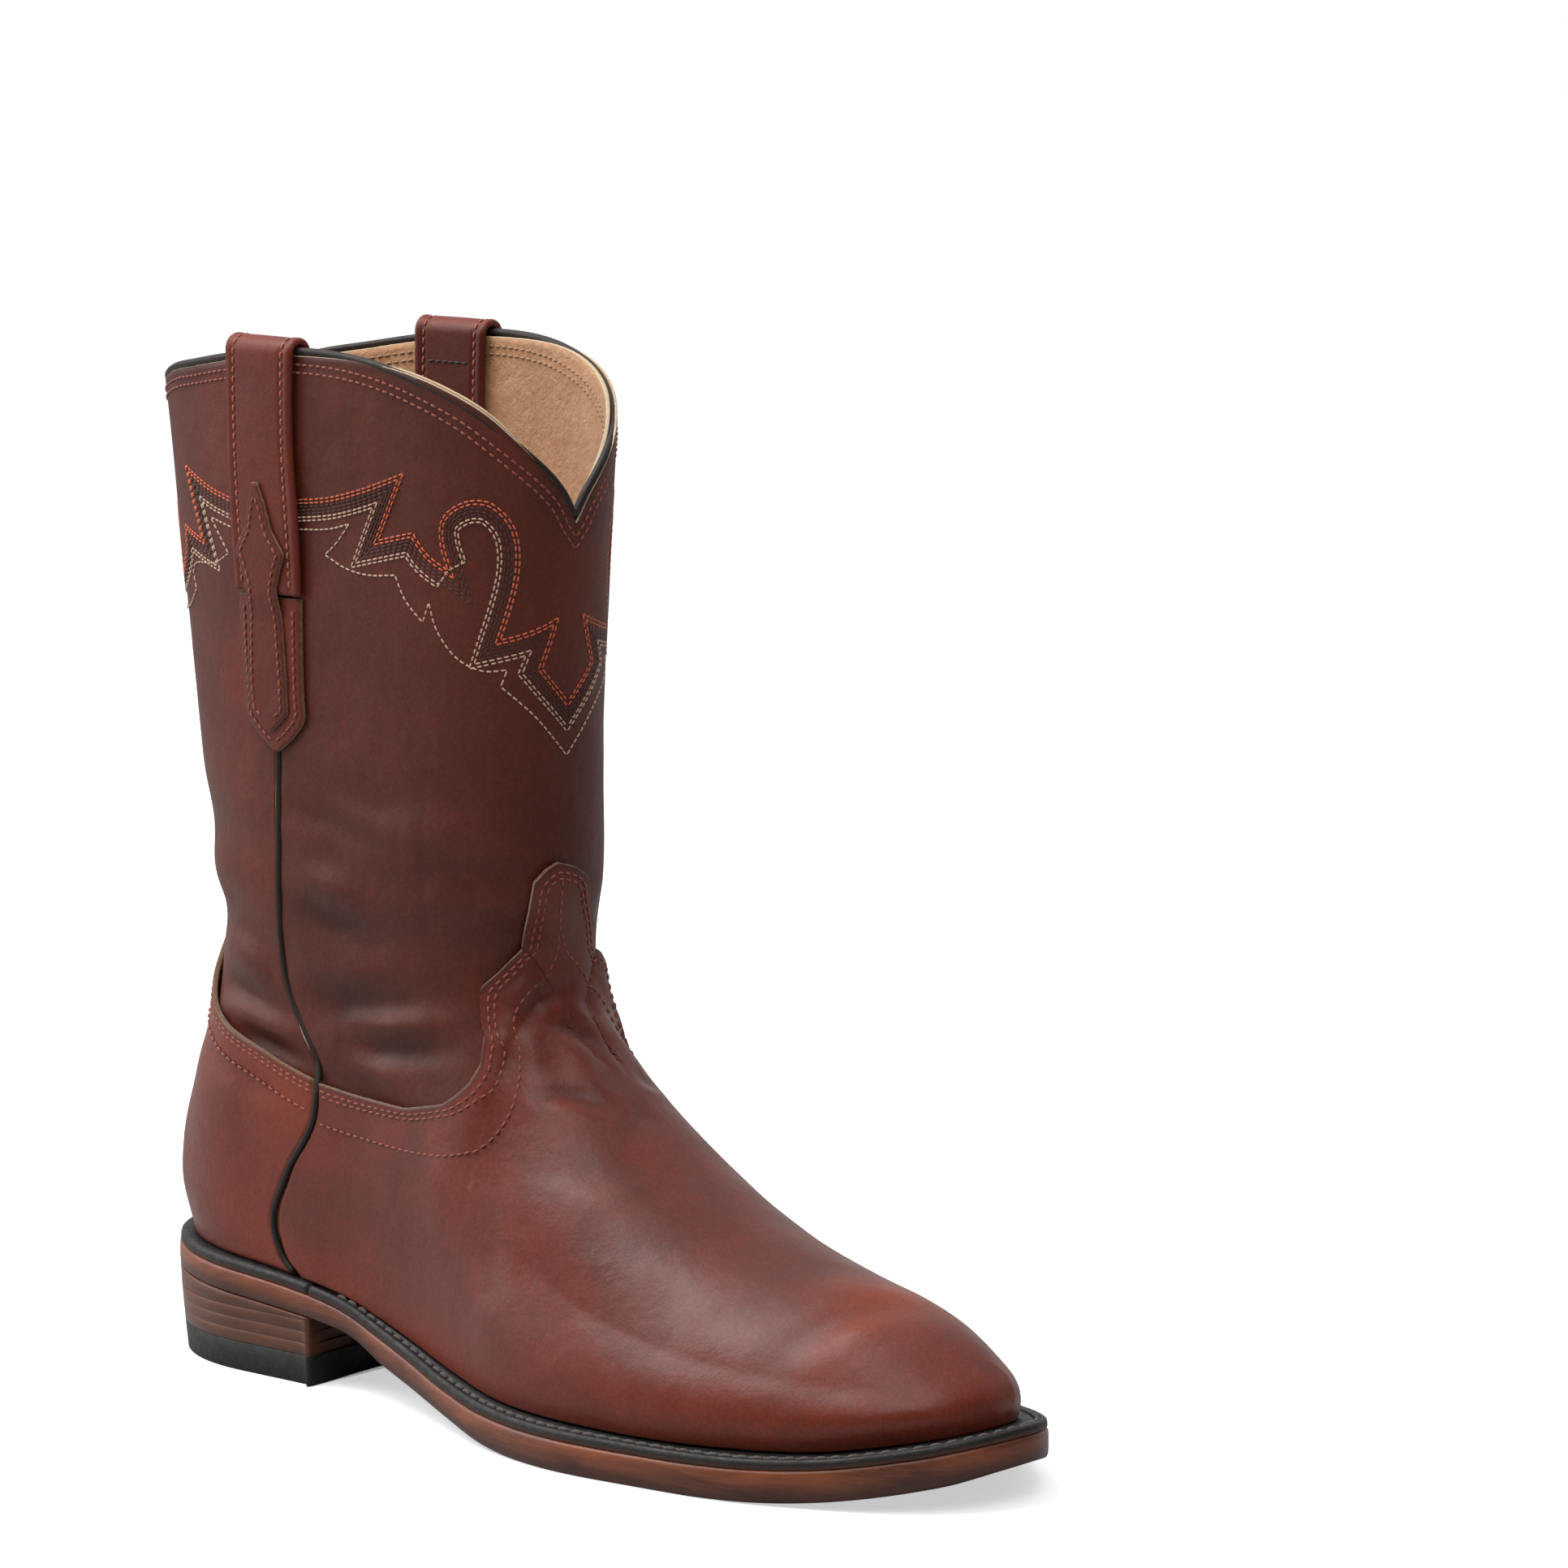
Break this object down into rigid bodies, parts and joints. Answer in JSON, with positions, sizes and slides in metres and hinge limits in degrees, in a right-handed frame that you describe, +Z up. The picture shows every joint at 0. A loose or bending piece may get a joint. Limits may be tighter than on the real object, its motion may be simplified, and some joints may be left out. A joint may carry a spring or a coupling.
{
  "type": "cowboy boot",
  "caption": "Western pull-on boot for a right foot, with a welted leather sole, stacked heel, piped leg seams, scalloped top and pull straps whose loops lift.",
  "frame": {"origin": "on the floor, under the middle of the heel cap", "axes": "+X towards the toe, +Z up; -Y is the outer side of a right foot"},
  "size_m": [0.3058, 0.106, 0.2893],
  "materials": {
    "upper_leather": "satin",
    "leg_leather": "satin",
    "lining_leather": "matte",
    "sole_leather": "polished",
    "insole_leather": "matte",
    "welt_leather": "satin",
    "heel_rubber": "matte",
    "bead_leather": "satin",
    "steel": "plain",
    "brass": "plain",
    "cork": "matte",
    "thread": "waxed",
    "stiffener": "matte"
  },
  "bodies": {
    "boot": {"heel_cap": "heel_rubber", "cap_nails": "steel", "heel_lift_1": "sole_leather", "heel_lift_2": "sole_leather", "heel_lift_3": "sole_leather", "heel_wedge": "sole_leather", "heel_nails": "brass", "outsole": "sole_leather", "heel_rand": "welt_leather", "welt": "welt_leather", "welt_stitch": "thread", "cork_filler": "cork", "shank_cover": "sole_leather", "shank": "steel", "insole": "insole_leather", "sock_lining": "lining_leather", "vamp": "upper_leather", "vamp_lining": "lining_leather", "toe_box": "stiffener", "counter_cover": "upper_leather", "heel_counter": "stiffener", "shaft_front": "leg_leather", "shaft_back": "leg_leather", "shaft_lining_front": "lining_leather", "shaft_lining_back": "lining_leather", "side_piping_lateral": "bead_leather", "side_piping_medial": "bead_leather", "topline_piping_front": "bead_leather", "topline_piping_back": "bead_leather", "strap_tail_lateral": "upper_leather", "strap_tail_medial": "upper_leather", "strap_overlay_lateral": "leg_leather", "strap_overlay_medial": "leg_leather"},
    "lateral_strap": {"pull_strap_lateral": "upper_leather"},
    "medial_strap": {"pull_strap_medial": "upper_leather"}
  },
  "joints": [
    {"name": "lateral_strap_lift", "type": "slide", "parent": "boot", "child": "lateral_strap", "axis": [0, 0, 1], "range_m": [0, 0.005]},
    {"name": "medial_strap_lift", "type": "slide", "parent": "boot", "child": "medial_strap", "axis": [0, 0, 1], "range_m": [0, 0.005]}
  ]
}
